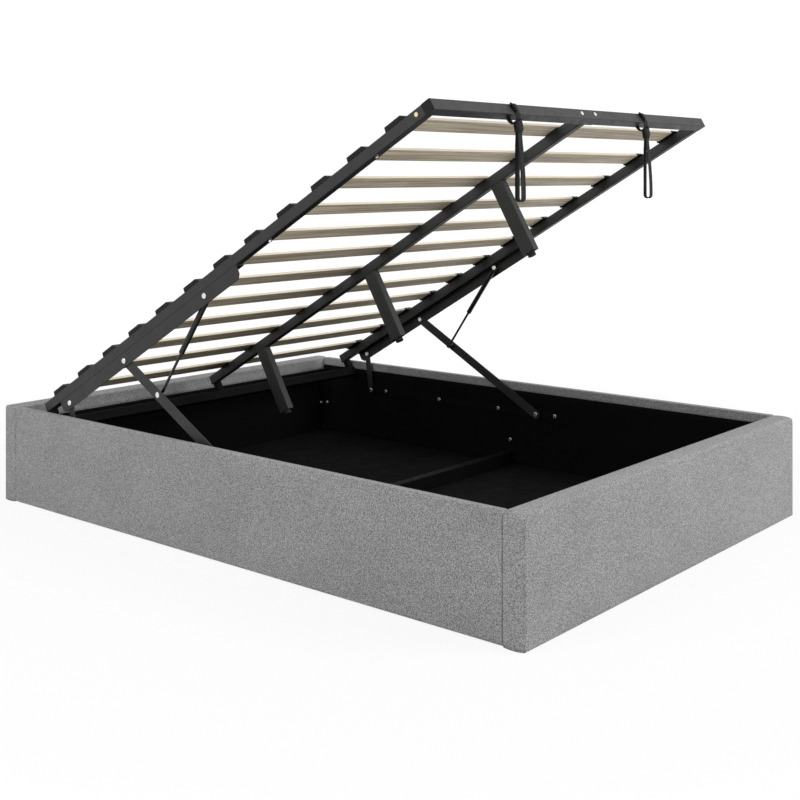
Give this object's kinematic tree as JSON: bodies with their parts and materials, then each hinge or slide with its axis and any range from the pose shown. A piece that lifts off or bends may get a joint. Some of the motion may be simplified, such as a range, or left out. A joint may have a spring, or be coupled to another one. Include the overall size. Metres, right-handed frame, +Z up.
{
  "type": "ottoman storage bed",
  "caption": "Upholstered ottoman storage bed: a fabric-covered box with a slatted steel frame that lifts on a gas-sprung linkage, with lifting straps and centre legs.",
  "frame": {"origin": "on the ground under the middle of the box", "axes": "+X across the bed to the right seen from the foot, +Y from the foot to the head, +Z up; the slatted frame stands open"},
  "size_m": [1.43, 2, 1.2143],
  "materials": {
    "upholstery": "heathered mid-grey linen-look weave",
    "board_wood": "raw panel, hidden under the cover",
    "lining": "black non-woven lining",
    "floor_board": "black covered fibreboard",
    "powder_coat": "satin charcoal powder coat",
    "black_coat": "matt black coat on the steel inside the box",
    "zinc": "bright zinc plate",
    "slat_wood": "pale birch laminate, clear sealed",
    "black_plastic": "fine moulded grain",
    "webbing": "black woven webbing",
    "strut_paint": "semi-gloss black",
    "rod_steel": "dark ground steel"
  },
  "bodies": {
    "base": {"foot_board_core": "board_wood", "foot_board_cover": "upholstery", "head_board_core": "board_wood", "head_board_cover": "upholstery", "side_rail_core_left": "board_wood", "side_rail_core_right": "board_wood", "side_rail_cover_left": "upholstery", "side_rail_cover_right": "upholstery", "inner_linings": "lining", "board_glides": "black_plastic", "floor_ledges": "floor_board", "floor_panel_foot": "floor_board", "floor_panel_head": "floor_board", "floor_divider": "black_coat", "divider_brackets": "black_coat", "corner_brackets": "black_coat", "base_bolts": "zinc", "lower_plate_left": "black_coat", "lower_plate_right": "black_coat", "lower_pivot_pins": "zinc"},
    "front_arms": {"front_arm_left": "powder_coat", "front_arm_right": "powder_coat", "lower_strut_studs": "zinc"},
    "rear_arms": {"rear_arm_left": "powder_coat", "rear_arm_right": "powder_coat", "rear_arm_studs": "zinc"},
    "platform": {"foot_tube": "powder_coat", "head_tube": "black_coat", "side_tube_left": "powder_coat", "side_tube_right": "powder_coat", "centre_tube": "powder_coat", "tube_plugs": "black_plastic", "upper_angle_left": "powder_coat", "upper_angle_right": "powder_coat", "upper_pivot_rivets": "zinc", "slat_01": "slat_wood", "slat_02": "slat_wood", "slat_03": "slat_wood", "slat_04": "slat_wood", "slat_05": "slat_wood", "slat_06": "slat_wood", "slat_07": "slat_wood", "slat_08": "slat_wood", "slat_09": "slat_wood", "slat_10": "slat_wood", "slat_11": "slat_wood", "slat_12": "slat_wood", "slat_caps_left": "black_plastic", "slat_caps_right": "black_plastic", "centre_slat_pads": "black_plastic", "centre_legs": "powder_coat", "leg_glides": "black_plastic", "frame_bolts": "zinc", "strap_hitches": "webbing"},
    "strut_cylinders": {"strut_cylinder_left": "strut_paint", "strut_cylinder_right": "strut_paint"},
    "strut_rods": {"strut_rod_left": "rod_steel", "strut_rod_right": "rod_steel"},
    "strap_left": {"pull_strap_left": "webbing"},
    "strap_right": {"pull_strap_right": "webbing"}
  },
  "joints": [
    {"name": "lift", "type": "hinge", "parent": "base", "child": "front_arms", "pos_m": [0, -0.08899, 0.2], "axis": [1, 0, 0], "range_deg": [-26.9, 0], "stiffness_Nm_per_rad": 350, "springref_deg": 51.57},
    {"name": "platform_pivot", "type": "hinge", "parent": "front_arms", "child": "platform", "pos_m": [0, 0.42911, 0.49196], "axis": [1, 0, 0], "range_deg": [0, 57.01]},
    {"name": "rear_arm_pivot", "type": "hinge", "parent": "platform", "child": "rear_arms", "pos_m": [0, 0.69471, 0.338], "axis": [1, 0, 0], "range_deg": [-101.32, 0]},
    {"name": "strut_pivot", "type": "hinge", "parent": "platform", "child": "strut_cylinders", "pos_m": [0, 0.07654, 0.70327], "axis": [1, 0, 0], "range_deg": [0, 21.83]},
    {"name": "strut_slide", "type": "slide", "parent": "strut_cylinders", "child": "strut_rods", "axis": [0, -0.5725, 0.8199], "range_m": [0, 0.11631]},
    {"name": "strap_swing_left", "type": "hinge", "parent": "platform", "child": "strap_left", "pos_m": [-0.347, -0.72744, 1.1641], "axis": [1, 0, 0], "range_deg": [-37, 15]},
    {"name": "strap_swing_right", "type": "hinge", "parent": "platform", "child": "strap_right", "pos_m": [0.304, -0.72744, 1.1641], "axis": [1, 0, 0], "range_deg": [-37, 15]}
  ],
  "couplings": [
    {"joint": "platform_pivot", "follows": "lift", "ratio": -2.1191},
    {"joint": "rear_arm_pivot", "follows": "lift", "ratio": 3.7666},
    {"joint": "strut_pivot", "follows": "lift", "ratio": -0.81109},
    {"joint": "strut_slide", "follows": "lift", "m_per_rad": -0.24756}
  ]
}
